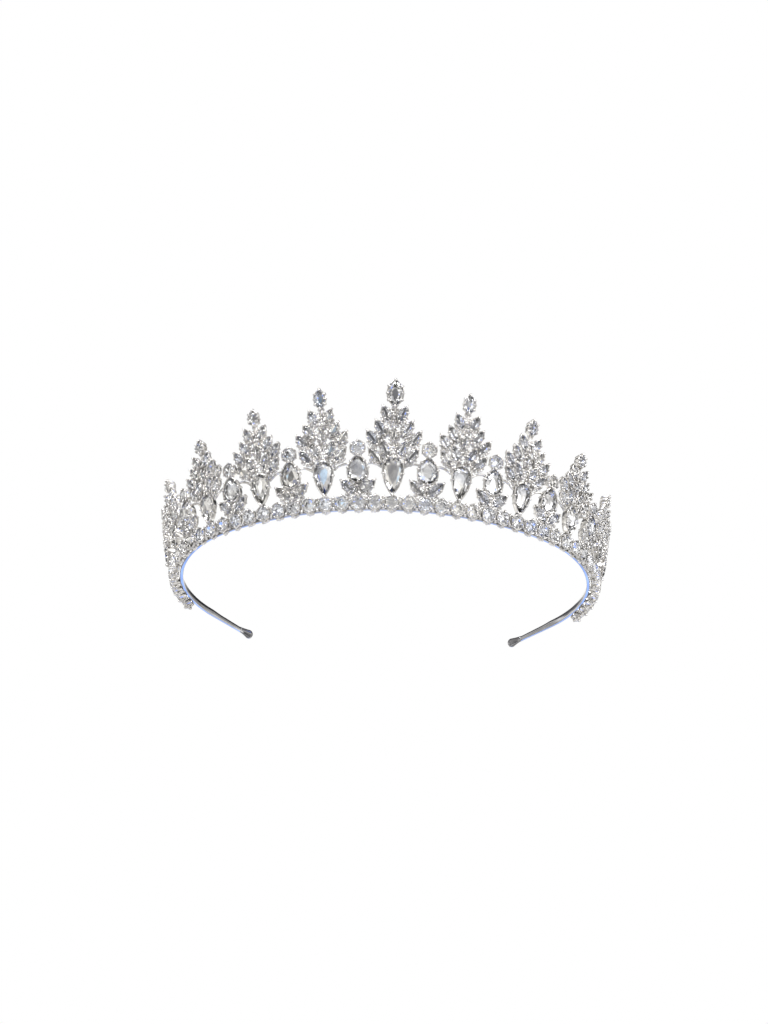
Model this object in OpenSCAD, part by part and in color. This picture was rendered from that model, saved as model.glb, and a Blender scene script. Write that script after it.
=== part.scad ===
// Bridal tiara: a horseshoe spring headband, a base row of claw-set round
// crystals along its outside, and a crown of eleven leaf-shaped peaks with
// eight lower connectors between them. The wearer looks along -Y; "left" is
// -X and "right" is +X, as seen by someone facing the tiara.

/* [Headband] */
// Radius of the front of the band, to the middle of the strip
front_radius = 85; // [80:1:90]
// Length of strip from the middle of the front to where a side begins
front_reach = 57; // [52:1:60]
// Radius of the band at the sides of the head
side_radius = 48; // [46:1:52]
// Length of strip along each side bend
side_reach = 73; // [70:1:76]
// Length of the straight end of each arm
arm_reach = 19.1; // [18:0.1:26]
// Height of the strip
strip_height = 2.4; // [2:0.1:3]
// Thickness of the strip
strip_thickness = 1.2; // [1:0.1:1.4]
// How much lower the strip is at its ends, where the arms taper
arm_taper = 0.5; // [0:0.1:0.6]
// Length of the bulb on each end of the strip
tip_length = 7; // [6:0.5:9]
// Largest radius of that bulb
tip_radius = 1.7; // [1.6:0.1:2.2]
// Length of strip inside a bulb
tip_mouth = 3; // [2:0.5:4]
// Height of the step under the strip where it enters a bulb
tang_step = 0.4; // [0.2:0.1:0.6]

/* [Base row] */
// Distance between neighbouring stones along the strip
pitch = 5.13; // [5.05:0.01:5.3]
// Stones on each side of the middle one
row_stones = 23; // [21:1:24]
// Width of a base stone
base_stone = 4.2; // [4:0.1:4.3]
// Height of the row's middle above the strip's lower edge
row_height = 0.8; // [0.6:0.1:1.2]
// Distance of the row's girdles from the middle of the strip
row_reach = 3.7; // [3.5:0.1:4]
// Depth of a base cup
row_depth = 3; // [2.6:0.1:3.2]

/* [Crown] */
// Outward lean of the crown at the front
front_lean = 24.4; // [18:0.2:26]
// Outward lean of the crown beside the ears
side_lean = 10.3; // [8:0.1:14]
// Height above the strip's lower edge where the crown's own plane starts
crown_height = 4; // [3.8:0.1:4.4]
// Distance of the crown's girdles from the middle of the strip there
crown_reach = 5; // [4.8:0.1:5.2]
// Places of the peaks, in stones of the base row from the middle
peak_at = [0, 4, 8, 12, 16, 18.5];
// Height of each peak, as a part of the middle one's
peak_tall = [1, 0.94, 0.87, 0.78, 0.68, 0.59];
// Size of each peak's top crystal, as a part of its share of the peak's height
peak_head = [1, 0.76, 0.7, 0.68, 0.68, 0.68];
// Width of each peak, as a part of the middle one's
peak_wide = [1, 0.96, 0.95, 0.89, 0.8, 0.68];
// Places of the connectors, in stones of the base row from the middle
connector_at = [2, 6, 10, 14];
// Size of each connector, as a part of the first one's
connector_size = [1, 0.98, 0.96, 0.92];

/* [Settings] */
// How far a cup stands out round its stone
cup_rim = 0.25; // [0.2:0.05:0.3]
// How far a cup reaches in under its stone
cup_ledge = 0.15; // [0.1:0.05:0.2]
// Distance of a cup's rim below its stone's girdle
cup_drop = 0.25; // [0.2:0.05:0.3]
// Depth of the cups of leaves
leaf_depth = 2; // [1.6:0.1:2.4]
// Depth of the cups of pears, top navettes and rounds
deep_cup = 2.8; // [2.4:0.1:3]
// Radius of a claw
claw_radius = 0.28; // [0.24:0.02:0.3]
// Height of a claw above the girdle
claw_rise = 0.5; // [0.4:0.1:0.7]
// Radius of the stem wires in a frame
stem_radius = 0.42; // [0.35:0.01:0.5]
// Depth of the stem wires' middles below the girdles
stem_level = 1.45; // [1.2:0.05:1.5]
// Radius of the link wires between frames
link_radius = 0.32; // [0.28:0.02:0.4]

/* [Stones] */
// Height of a crown above the girdle, as a part of the stone's width
stone_crown = 0.2; // [0.15:0.01:0.25]
// Depth of a pavilion below the girdle, as a part of the stone's width
stone_pavilion = 0.38; // [0.3:0.01:0.42]
// Width of a table, as a part of the stone's width
stone_table = 0.58; // [0.5:0.01:0.65]

/* [Hidden] */
silver = [0.75, 0.75, 0.77];
crystal = [0.86, 0.9, 0.95];

// Height at which the crown's rise towards the ears ends, along the strip
lean_reach = 90;
lean_end = 1.2;
// Distance up the crown's slope at which every motif starts
motif_foot = 2.4;
// Part of the room left by a smaller top crystal by which the leaves stand higher
leaf_share = 0.65;
// Distance of the strip's front from the middle of the tiara's whole depth
front_to_middle = 41.3;
// Height of the strip's lower edge: the lowest cups, at the ends of the base
// row, hang below it and stand at Z = 0
end_lean = front_lean - (front_lean - side_lean) * lean_end;
band_lift = (base_stone / 2 + cup_rim) * cos(end_lean) - cup_drop * sin(end_lean) - row_height;

strip_reach = front_reach + side_reach + arm_reach;
arm_end = strip_height - arm_taper;
tip_neck = arm_end * 0.66;
// Corners of the strip's outline on each side of the front
station_count = 60;
front_turn = front_reach / front_radius * 180 / PI;
side_turn = side_reach / side_radius * 180 / PI;
crown_foot = row_height;

// Each crystal of a peak: kind, sideways place, place up the slope, tilt
// outwards, length and width. One side of the peak is listed and mirrored.
peak_middle = [
    ["navette", 0, 35, 0, 8.4, 5],
    ["leaf", 0, 21.8, 0, 4, 2.3],
    ["pear", 0, 8.5, 180, 11.6, 6.2]
];
peak_side = [
    ["leaf", 2.6, 28.3, 27, 5.4, 2.7],
    ["leaf", 4.4, 23.8, 33, 5.4, 2.7],
    ["leaf", 6.9, 20.5, 37, 5.4, 2.7],
    ["leaf", 2.8, 17.1, 24, 5.4, 2.7],
    ["leaf", 5.9, 15, 42, 5.6, 2.7]
];
connector_middle = [
    ["round", 0, 17.5, 0, 4.4, 4.4],
    ["pear", 0, 10.9, 0, 8.4, 6.2]
];
connector_side = [
    ["leaf", 2.9, 4.9, 48, 6.4, 3]
];

// Stem wires of a peak and of a connector: two ends, each sideways and up
// the slope. One side is listed and mirrored.
peak_stems = [
    [0, 24, 0, 31.9],
    [0.2, 24.3, 1.6, 26.5],
    [0.8, 22.6, 3, 21.8],
    [3, 21.7, 5.3, 18.7],
    [0, 20.2, 0, 17.8],
    [0, 17.8, 2.2, 18.2],
    [3.9, 19.7, 3.6, 18.9]
];
// The same from the lowest leaves to the pear's cup
pear_stems = [
    [1.7, 14.9, 0.9, 14.2],
    [4.3, 13.3, 2.6, 12.2]
];
connector_stems = [
    [0, 15.6, 0, 14.4],
    [0.6, 3.1, 0, 7.2],
    [2.6, 5.2, 1.6, 7.8],
    [0, 3.2, 0.7, 3]
];

SIDES = [["left", -1], ["right", 1]];
function peak_name(side, i) = i == 0 ? "peak_centre" : str("peak_", side, "_", i);
function connector_name(side, i) = str("connector_", side, "_", i + 1);
PEAKS = concat(
    [["peak_centre", 0, 0]],
    [for (side = SIDES) for (i = [1:len(peak_at) - 1]) [peak_name(side[0], i), side[1], i]]
);
CONNECTORS = [
    for (side = SIDES) for (i = [0:len(connector_at) - 1])
        [connector_name(side[0], i), side[1], i]
];
// Stretches of the base row: name, first stone and last stone
STRETCHES = [
    ["left", -row_stones, -9],
    ["front", -8, 8],
    ["right", 9, row_stones]
];

// ---- The line of the strip ----

// Direction of the strip at s along it from the middle of the front
function heading(s) = sign(s) * (
    min(abs(s), front_reach) / front_radius
    + max(0, min(abs(s), front_reach + side_reach) - front_reach) / side_radius
) * 180 / PI;

// Place of the strip's middle at s along it, with the front's middle at Y = 0
function strip_x(s) = sign(s) * (
    front_radius * sin(min(abs(heading(s)), front_turn))
    + side_radius * (sin(max(abs(heading(s)), front_turn)) - sin(front_turn))
    + max(0, abs(s) - front_reach - side_reach) * cos(front_turn + side_turn)
);
function strip_y(s) =
    front_radius * (1 - cos(min(abs(heading(s)), front_turn)))
    + side_radius * (cos(front_turn) - cos(max(abs(heading(s)), front_turn)))
    + max(0, abs(s) - front_reach - side_reach) * sin(front_turn + side_turn);

function lean(s) =
    front_lean - (front_lean - side_lean) * min(abs(s) / lean_reach, lean_end);

// Distance of the crown's girdle plane from the strip at the crown's foot
function crown_out(s) = crown_reach - (crown_height - crown_foot) * tan(lean(s));

// A point of the crown's sheet at s: u sideways, v up the slope, w outwards
function sheet_point(s, u, v, w) =
    let (
        turn = heading(s),
        out = crown_out(s) + v * sin(lean(s)) + w * cos(lean(s)),
        rise = band_lift + crown_foot + v * cos(lean(s)) - w * sin(lean(s))
    )
    [
        strip_x(s) + u * cos(turn) + out * sin(turn),
        strip_y(s) - front_to_middle + u * sin(turn) - out * cos(turn),
        rise
    ];

// Children's X runs along the strip, Y up and Z outwards from it
module at_strip(s, out, rise, tilt) {
    translate([strip_x(s), strip_y(s) - front_to_middle, 0])
        rotate([0, 0, heading(s)])
            translate([0, -out, band_lift + rise])
                rotate([90 + tilt, 0, 0])
                    children();
}

module at_row(s) {
    at_strip(s, row_reach, row_height, lean(s)) children();
}

module at_crown(s) {
    at_strip(s, crown_out(s), crown_foot, lean(s)) children();
}

// ---- Outlines of stones ----

// Two equal arcs that meet in points at the top and bottom
function navette_outline(l, w) =
    let (
        r = (l * l + w * w) / (4 * w),
        half = asin(l / 2 / r)
    )
    [
        for (side = [1, -1]) for (i = [-2:1])
            side * [r * cos(half * i / 2) - r + w / 2, r * sin(half * i / 2)]
    ];

// A half circle below, with two arcs from its ends that meet in a point on top
function pear_outline(l, w) =
    let (
        head = w / 2,
        middle = head - l / 2,
        h = l - head,
        r = (h * h + head * head) / w,
        turn = asin(h / r)
    )
    concat(
        [for (i = [0:2]) [r * cos(turn * i / 3) - r + head, middle + r * sin(turn * i / 3)]],
        [[0, l / 2]],
        [for (i = [2:-1:0]) [r - head - r * cos(turn * i / 3), middle + r * sin(turn * i / 3)]],
        [for (a = [225, 270, 315]) [head * cos(a), middle + head * sin(a)]]
    );

function outline(kind, l, w) = kind == "pear" ? pear_outline(l, w) : navette_outline(l, w);

// ---- Stones ----

module round_stone(d) {
    rotate_extrude($fn = 48)
        polygon([
            [0, -stone_pavilion * d],
            [d / 2, 0],
            [stone_table * d / 2, stone_crown * d],
            [0, stone_crown * d]
        ]);
}

// Table, one ring of crown facets and one ring of pavilion facets
module cut_stone(kind, l, w) {
    rim = outline(kind, l, w);
    n = len(rim);
    middle = kind == "pear" ? [0, (w - l) / 4] : [0, 0];
    table = [for (p = rim) middle + (p - middle) * stone_table];
    polyhedron(
        points = concat(
            [for (p = table) [p[0], p[1], stone_crown * w]],
            [for (p = rim) [p[0], p[1], 0]],
            [[middle[0], middle[1], -stone_pavilion * w]]
        ),
        faces = concat(
            [[for (i = [n - 1:-1:0]) i]],
            [for (i = [0:n - 1]) [i, (i + 1) % n, n + (i + 1) % n, n + i]],
            [for (i = [0:n - 1]) [n + i, n + (i + 1) % n, 2 * n]]
        )
    );
}

module stone(kind, l, w) {
    if (kind == "round")
        round_stone(w);
    else
        cut_stone(kind, l, w);
}

// ---- Settings ----

module claw(p, depth) {
    translate([p[0], p[1], -depth])
        cylinder(h = depth + claw_rise, r = claw_radius, $fn = 4);
}

module round_setting(d, depth) {
    difference() {
        translate([0, 0, -depth])
            cylinder(h = depth - cup_drop, r = d / 2 + cup_rim, $fn = 48);
        translate([0, 0, -depth - 1])
            cylinder(h = depth + 2, r = d / 2 - cup_ledge, $fn = 48);
    }
    for (a = [45:90:315])
        claw((d / 2 + claw_radius + 0.02) * [cos(a), sin(a)], depth);
}

module cut_setting(kind, l, w) {
    depth = kind == "leaf" ? leaf_depth : deep_cup;
    translate([0, 0, -depth])
        linear_extrude(depth - cup_drop)
            difference() {
                polygon(outline(kind, l + 3 * cup_rim, w + 2 * cup_rim));
                polygon(outline(kind, l - 3 * cup_ledge, w - 2 * cup_ledge));
            }
    ends = kind == "pear" ? [[0, l / 2], [0, -l / 2], [w / 2, (w - l) / 2], [-w / 2, (w - l) / 2]]
        : kind == "navette" ? [[0, l / 2], [0, -l / 2], [w / 2, 0], [-w / 2, 0]]
        : [[0, l / 2], [0, -l / 2]];
    for (p = ends)
        claw(p * (1 + (claw_radius + 0.04) / norm(p)), depth);
}

module setting(kind, l, w) {
    if (kind == "round")
        round_setting(w, deep_cup);
    else
        cut_setting(kind, l, w);
}

// A place in a motif of the given width and height
function spot(u, v, wide, tall) = [u * wide, motif_foot + (v - motif_foot) * tall];

// A round wire in the plane of a frame, behind the stones, and its mirror
// image. Its first end is raised by the first of the rises, and so on.
module stem(ends, wide, tall, rises) {
    a = spot(ends[0], ends[1], wide, tall) + [0, rises[0]];
    b = spot(ends[2], ends[3], wide, tall) + [0, rises[1]];
    run = b - a;
    for (side = ends[0] == 0 && ends[2] == 0 ? [1] : [1, -1])
        translate([side * a[0], a[1], -stem_level])
            rotate([0, 0, atan2(run[1], side * run[0])])
                rotate([0, 90, 0])
                    cylinder(h = norm(run), r = stem_radius, $fn = 6);
}

// ---- Motifs ----

// Place and size of one crystal of a motif. The top navette keeps its upper
// end where it is when head makes it smaller, and the leaves are raised.
function placed(item, wide, tall, head, raise) =
    let (
        size = (wide + tall) / 2,
        long = item[4] * (item[1] == 0 ? tall : size),
        place = spot(item[1], item[2], wide, tall)
    )
    item[0] == "navette"
        ? [item[0], 0, place[1] + long * (1 - head) / 2, 0, long * head, item[5] * size * head]
        : [
            item[0], place[0], place[1] + (item[0] == "leaf" ? raise : 0),
            item[3], long, item[5] * size
        ];

function mirrored(p) = [p[0], -p[1], p[2], -p[3], p[4], p[5]];

function motif(middle, side, wide, tall, head = 1, raise = 0) = concat(
    [for (item = middle) placed(item, wide, tall, head, raise)],
    [for (item = side) placed(item, wide, tall, head, raise)],
    [for (item = side) mirrored(placed(item, wide, tall, head, raise))]
);

module motif_stones(items) {
    color(crystal)
        for (item = items)
            translate([item[1], item[2], 0])
                rotate([0, 0, -item[3]])
                    stone(item[0], item[4], item[5]);
}

module motif_settings(items) {
    for (item = items)
        translate([item[1], item[2], 0])
            rotate([0, 0, -item[3]])
                setting(item[0], item[4], item[5]);
}

function leaf_raise(i) = leaf_share * peak_middle[0][4] * peak_tall[i] * (1 - peak_head[i]);
function peak_items(i) =
    motif(peak_middle, peak_side, peak_wide[i], peak_tall[i], peak_head[i], leaf_raise(i));
function connector_items(i) =
    motif(connector_middle, connector_side, connector_size[i], connector_size[i]);

module peak_stones(side, i) {
    at_crown(side * peak_at[i] * pitch) motif_stones(peak_items(i));
}

module peak_frame(side, i) {
    rise = leaf_raise(i);
    color(silver)
        at_crown(side * peak_at[i] * pitch) {
            motif_settings(peak_items(i));
            for (ends = peak_stems)
                stem(ends, peak_wide[i], peak_tall[i], [rise, rise]);
            for (ends = pear_stems)
                stem(ends, peak_wide[i], peak_tall[i], [rise, 0]);
        }
}

module connector_stones(side, i) {
    at_crown(side * connector_at[i] * pitch) motif_stones(connector_items(i));
}

module connector_frame(side, i) {
    size = connector_size[i];
    color(silver)
        at_crown(side * connector_at[i] * pitch) {
            motif_settings(connector_items(i));
            for (ends = connector_stems)
                stem(ends, size, size, [0, 0]);
        }
}

// ---- Link wires ----

// Points of a shallow arch from a to b that rises by rise in the middle
function arch(a, b, rise, steps) = [
    for (i = [0:steps])
        let (t = i / steps) a + (b - a) * t + [0, 0, rise * 4 * t * (1 - t)]
];

// Tube along points, with flat ends across the line from end to end
module wire(path, r, sides = 6) {
    last = len(path) - 1;
    along = path[last] - path[0];
    across = cross(along, [0, 0, 1]) / norm(cross(along, [0, 0, 1]));
    up = cross(across, along) / norm(cross(across, along));
    n = sides;
    polyhedron(
        points = [
            for (p = path) for (k = [0:n - 1])
                p + r * (across * cos(360 * k / n) + up * sin(360 * k / n))
        ],
        faces = concat(
            [[for (k = [0:n - 1]) k]],
            [for (j = [0:last - 1]) for (k = [0:n - 1])
                [j * n + k, (j + 1) * n + k, (j + 1) * n + (k + 1) % n]],
            [for (j = [0:last - 1]) for (k = [0:n - 1])
                [j * n + k, (j + 1) * n + (k + 1) % n, j * n + (k + 1) % n]],
            [[for (k = [n - 1:-1:0]) last * n + k]]
        )
    );
}

// From the connector's shoulders to the pears of the peaks on both sides
module link_wires(side, i) {
    size = connector_size[i];
    s = side * connector_at[i] * pitch;
    color(silver)
        for (step = [-1, 1]) {
            j = i + (step * side < 0 ? 0 : 1);
            u = step * 2.75;
            wide = peak_wide[j];
            tall = peak_tall[j];
            shoulder = sheet_point(s, u * size, motif_foot + 9.9 * size, -0.9);
            pear = sheet_point(
                side * peak_at[j] * pitch, -step * 3.85 * wide, motif_foot + 9 * tall, -0.9
            );
            wire(arch(shoulder, pear, 0.8, 5), link_radius);
        }
}

// ---- Base row ----

// The room that the strip takes beside one cup, and as much again under it
module strip_room(s) {
    at_strip(s, strip_thickness / 2, -strip_height, 0)
        translate([-pitch, 0, -pitch])
            cube([2 * pitch, 2 * strip_height, pitch]);
}

// Each cup is notched round the strip and leaves the strip's underside free
module base_settings(first, last) {
    color(silver)
        for (i = [first:last])
            difference() {
                at_row(i * pitch) round_setting(base_stone, row_depth);
                strip_room(i * pitch);
            }
}

module base_stones(first, last) {
    color(crystal)
        for (i = [first:last])
            at_row(i * pitch) round_stone(base_stone);
}

// ---- Headband and its end tips ----

// Places along the strip at which its outline has a corner
STATIONS = [for (i = [-station_count:station_count]) i * strip_reach / station_count];

function strip_edge(s, out) = [
    strip_x(s) + out * sin(heading(s)),
    strip_y(s) - front_to_middle - out * cos(heading(s))
];

// What is cut from the end of an arm: a taper along its top, and a step
// under the tang that goes into the bulb
module arm_cuts(side) {
    at_strip(side * strip_reach, 0, 0, 0)
        rotate([0, side > 0 ? 180 : 0, 0])
            linear_extrude(2 * strip_thickness, center = true) {
                translate([-1, -1])
                    square([tip_mouth + 1, 1 + tang_step]);
                polygon([
                    [-1, arm_end], [arm_reach, strip_height],
                    [arm_reach, strip_height + 1], [-1, strip_height + 1]
                ]);
            }
}

module strip() {
    half = strip_thickness / 2;
    difference() {
        translate([0, 0, band_lift])
            linear_extrude(strip_height)
                polygon(concat(
                    [for (s = STATIONS) strip_edge(s, half)],
                    [for (i = [len(STATIONS) - 1:-1:0]) strip_edge(STATIONS[i], -half)]
                ));
        for (side = [-1, 1]) arm_cuts(side);
    }
}

module headband() {
    color(silver) strip();
}

// Bulb turned about the arm's own line, with a socket that the strip fills
module end_tip(side) {
    s = side * strip_reach;
    color(silver)
        difference() {
            translate([strip_x(s), strip_y(s) - front_to_middle, band_lift + arm_end / 2])
                rotate([0, 0, heading(s) - 90 + (side < 0 ? 180 : 0)])
                    translate([0, -tip_mouth, 0])
                        rotate([-90, 0, 0])
                            rotate_extrude($fn = 48)
                                polygon(tip_profile());
            strip();
        }
}

// Half section of the bulb: a neck that swells into a dome
function tip_profile() = concat(
    [[0, 0], [tip_neck, 0]],
    [for (i = [1:3]) [
        tip_neck + (tip_radius - tip_neck) * sin(30 * i), (tip_length - tip_radius) * i / 3
    ]],
    [for (a = [20:20:80]) [
        tip_radius * cos(a), tip_length - tip_radius + tip_radius * sin(a)
    ]],
    [[0, tip_length]]
);

// ---- Nodes ----

headband();
end_tip(-1);  // end_tip_left
end_tip(1);  // end_tip_right
for (row = STRETCHES) {
    base_settings(row[1], row[2]);
    base_stones(row[1], row[2]);
}
for (peak = PEAKS) {
    peak_frame(peak[1], peak[2]);
    peak_stones(peak[1], peak[2]);
}
for (link = CONNECTORS) {
    connector_frame(link[1], link[2]);
    connector_stones(link[1], link[2]);
    link_wires(link[1], link[2]);
}
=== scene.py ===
"""Looks of the bridal tiara: claw-set faceted crystals, soldered frames and a polished spring headband.

Every place is worked out in millimetres from the tiara's own driving sizes, the same as in its
CAD source, and turned into metres when a mesh is made. Each CAD node gets one detailed piece.
"""
import math
import random

import bpy
from mathutils import Matrix, Vector


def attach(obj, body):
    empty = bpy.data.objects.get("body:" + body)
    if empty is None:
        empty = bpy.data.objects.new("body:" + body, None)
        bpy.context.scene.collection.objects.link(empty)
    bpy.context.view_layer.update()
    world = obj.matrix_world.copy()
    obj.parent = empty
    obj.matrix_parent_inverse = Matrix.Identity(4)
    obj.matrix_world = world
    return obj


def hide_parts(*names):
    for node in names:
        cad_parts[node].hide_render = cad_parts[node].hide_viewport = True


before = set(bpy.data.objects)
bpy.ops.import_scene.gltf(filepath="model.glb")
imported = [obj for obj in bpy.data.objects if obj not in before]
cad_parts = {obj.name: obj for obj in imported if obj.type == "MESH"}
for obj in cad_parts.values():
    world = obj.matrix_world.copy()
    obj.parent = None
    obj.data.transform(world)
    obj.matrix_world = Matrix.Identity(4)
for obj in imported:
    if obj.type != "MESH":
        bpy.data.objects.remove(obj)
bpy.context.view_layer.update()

MM = 0.001
rng = random.Random(11)

# ---- Sizes of the tiara, in millimetres ----

# Strip: a front arc, an arc on each side and a straight arm, each with its length along the strip
FRONT_RADIUS, FRONT_REACH = 85, 57
SIDE_RADIUS, SIDE_REACH = 48, 73
ARM_REACH, ARM_TAPER = 19.1, 0.5
STRIP_REACH = FRONT_REACH + SIDE_REACH + ARM_REACH
STRIP_HEIGHT, STRIP_THICKNESS = 2.4, 1.2
FRONT_TO_MIDDLE = 41.3
TIP_LENGTH, TIP_RADIUS, TIP_MOUTH = 7, 1.7, 3

# Base row: distance from crystal to crystal, crystals on each side of the middle one and how many
# of them belong to the front, their size, and how high, how far out and how deep their cups are
PITCH = 5.13
ROW_STONES, FRONT_STONES = 23, 8
BASE_STONE = 4.2
ROW_HEIGHT, ROW_REACH, ROW_DEPTH = 0.8, 3.7, 3

# Outward lean in degrees at the front and LEAN_REACH mm along the strip. It stops changing at
# LEAN_END times that way. The peaks' sheet stands CROWN_REACH out at CROWN_HEIGHT
FRONT_LEAN, SIDE_LEAN, LEAN_REACH, LEAN_END = 24.4, 10.3, 90, 1.2
CROWN_HEIGHT, CROWN_REACH = 4, 5

# Peaks from the middle to a side: place in pitches, and height, width and top navette as parts of
# the centre peak's. Leaves move up by LEAF_SHARE of what a smaller top navette is shorter
PEAK_AT = [0, 4, 8, 12, 16, 18.5]
PEAK_TALL = [1, 0.94, 0.87, 0.78, 0.68, 0.59]
PEAK_WIDE = [1, 0.96, 0.95, 0.89, 0.8, 0.68]
PEAK_HEAD = [1, 0.76, 0.7, 0.68, 0.68, 0.68]
LEAF_SHARE = 0.65
CONNECTOR_AT = [2, 6, 10, 14]
CONNECTOR_SIZE = [1, 0.98, 0.96, 0.92]
MOTIF_FOOT = 2.4

# Rim of a CAD cup round its crystal, and how far behind the crystal's edge the cup ends
CUP_RIM, CUP_DROP = 0.25, 0.25
# Depth of the cups, thickness of stems and wires, and how far behind the crystals the stems run
LEAF_DEPTH, DEEP_CUP = 2, 2.8
STEM_RADIUS, STEM_LEVEL, LINK_RADIUS = 0.42, 1.45, 0.32

# Height of the strip's lower edge above the lowest cups
END_LEAN = FRONT_LEAN - (FRONT_LEAN - SIDE_LEAN) * LEAN_END
BAND_LIFT = (
    (BASE_STONE / 2 + CUP_RIM) * math.cos(math.radians(END_LEAN))
    - CUP_DROP * math.sin(math.radians(END_LEAN)) - ROW_HEIGHT
)

# Crystals of a motif: kind, sideways, up the slope, tilt outwards in degrees, length, width
TOP_LENGTH = 8.4
PEAK_MIDDLE = [
    ("navette", 0, 35, 0, TOP_LENGTH, 5),
    ("leaf", 0, 21.8, 0, 4, 2.3),
    ("pear", 0, 8.5, 180, 11.6, 6.2),
]
PEAK_SIDE = [
    ("leaf", 2.6, 28.3, 27, 5.4, 2.7),
    ("leaf", 4.4, 23.8, 33, 5.4, 2.7),
    ("leaf", 6.9, 20.5, 37, 5.4, 2.7),
    ("leaf", 2.8, 17.1, 24, 5.4, 2.7),
    ("leaf", 5.9, 15, 42, 5.6, 2.7),
]
CONNECTOR_MIDDLE = [("round", 0, 17.5, 0, 4.4, 4.4), ("pear", 0, 10.9, 0, 8.4, 6.2)]
CONNECTOR_SIDE = [("leaf", 2.9, 4.9, 48, 6.4, 3)]
# Stems of a motif: sideways and up the slope at one end, then at the other
PEAK_STEMS = [
    (0, 24, 0, 31.9),
    (0.9, 29.6, 1.5, 27.2),
    (0.2, 24.3, 1.6, 26.5),
    (0.8, 22.6, 3, 21.8),
    (3, 21.7, 5.3, 18.7),
    (0, 20.2, 0, 17.8),
    (0, 17.8, 2.2, 18.2),
    (3.9, 19.7, 3.6, 18.9),
]
PEAR_STEMS = [(1.7, 14.9, 0.9, 14.2), (4.3, 13.3, 2.6, 12.2)]
CONNECTOR_STEMS = [
    (0, 15.6, 0, 14.4),
    (0.6, 3.1, 0, 7.2),
    (2.6, 5.2, 1.6, 7.8),
    (0, 3.2, 0.7, 3),
]


# ---- The line of the strip and the sheets that stand on it ----

def heading(s):
    """Direction of the strip in radians, s mm along it from the middle of the front."""
    a = abs(s)
    turn = min(a, FRONT_REACH) / FRONT_RADIUS
    turn += max(0, min(a, FRONT_REACH + SIDE_REACH) - FRONT_REACH) / SIDE_RADIUS
    return math.copysign(turn, s)


def strip_point(s):
    """Point of the strip's middle line, s mm along it."""
    turn = abs(heading(s))
    front = FRONT_REACH / FRONT_RADIUS
    arm = max(0, abs(s) - FRONT_REACH - SIDE_REACH)
    x = FRONT_RADIUS * math.sin(min(turn, front))
    x += SIDE_RADIUS * (math.sin(max(turn, front)) - math.sin(front)) + arm * math.cos(turn)
    y = FRONT_RADIUS * (1 - math.cos(min(turn, front)))
    y += SIDE_RADIUS * (math.cos(front) - math.cos(max(turn, front))) + arm * math.sin(turn)
    return Vector((math.copysign(x, s), y - FRONT_TO_MIDDLE, 0))


def lean(s):
    """Outward lean in radians of what stands on the strip there."""
    rise = (FRONT_LEAN - SIDE_LEAN) * min(abs(s) / LEAN_REACH, LEAN_END)
    return math.radians(FRONT_LEAN - rise)


def at_strip(s, out, rise, tilt):
    """Matrix whose X runs along the strip, Y up and Z outwards, tilted outwards."""
    turn = heading(s)
    along = Vector((math.cos(turn), math.sin(turn), 0))
    outward = Vector((math.sin(turn), -math.cos(turn), 0))
    up = Vector((0, 0, 1))
    y = up * math.cos(tilt) + outward * math.sin(tilt)
    z = outward * math.cos(tilt) - up * math.sin(tilt)
    origin = strip_point(s) + outward * out + up * (BAND_LIFT + rise)
    m = Matrix((along, y, z)).transposed().to_4x4()
    m.translation = origin
    return m


def at_row(s):
    """Place of a base crystal."""
    return at_strip(s, ROW_REACH, ROW_HEIGHT, lean(s))


def at_crown(s):
    """Place of a peak or connector, whose Y runs up the slope from the row's height."""
    out = CROWN_REACH - (CROWN_HEIGHT - ROW_HEIGHT) * math.tan(lean(s))
    return at_strip(s, out, ROW_HEIGHT, lean(s))


# ---- Mesh builder ----

class Shape:
    """Collects faces in millimetres, then makes one object of them."""

    def __init__(self):
        self.points, self.faces, self.slots, self.smooth = [], [], [], []

    def place(self, points, matrix):
        """Adds points, and says where they start."""
        start = len(self.points)
        self.points += [matrix @ Vector(p) for p in points]
        return start

    def cover(self, start, faces, slot=0, smooth=False):
        """Adds faces over the points from start on."""
        for f in faces:
            self.faces.append([start + i for i in f])
            self.slots.append(slot)
            self.smooth.append(smooth)

    def grid(self, rings, matrix, capped=False):
        """A smooth skin over rings of points, closed round each ring and open or capped at its ends."""
        n = len(rings[0])
        faces = []
        for j in range(len(rings) - 1):
            for k in range(n):
                a, b = j * n + k, j * n + (k + 1) % n
                faces.append((a, b, b + n, a + n))
        if capped:
            faces.append(tuple(reversed(range(n))))
            faces.append(tuple(range((len(rings) - 1) * n, len(rings) * n)))
        start = self.place([p for ring in rings for p in ring], matrix)
        self.cover(start, faces, smooth=True)

    def make(self, name, materials, replaced, slot_name):
        mesh = bpy.data.meshes.new(name)
        mesh.from_pydata([p * MM for p in self.points], [], self.faces)
        for material in materials:
            mesh.materials.append(material)
        mesh.polygons.foreach_set("material_index", self.slots)
        mesh.polygons.foreach_set("use_smooth", self.smooth)
        mesh.validate()
        mesh.update()
        piece = bpy.data.objects.new(name, mesh)
        bpy.context.collection.objects.link(piece)
        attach(piece, "root")
        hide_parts(*replaced)


# ---- Outlines, as points once round anticlockwise ----

MITER = 0.55


def navette_outline(l, w, n):
    """Two arcs that meet in points above and below."""
    r = (l * l + w * w) / (4 * w)
    half = math.asin(min(1, l / 2 / r))
    points = []
    for side in (1, -1):
        for i in range(n // 2):
            a = half * (4 * i / n - 1)
            points.append((side * (r * math.cos(a) - r + w / 2), side * r * math.sin(a)))
    return points


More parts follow.
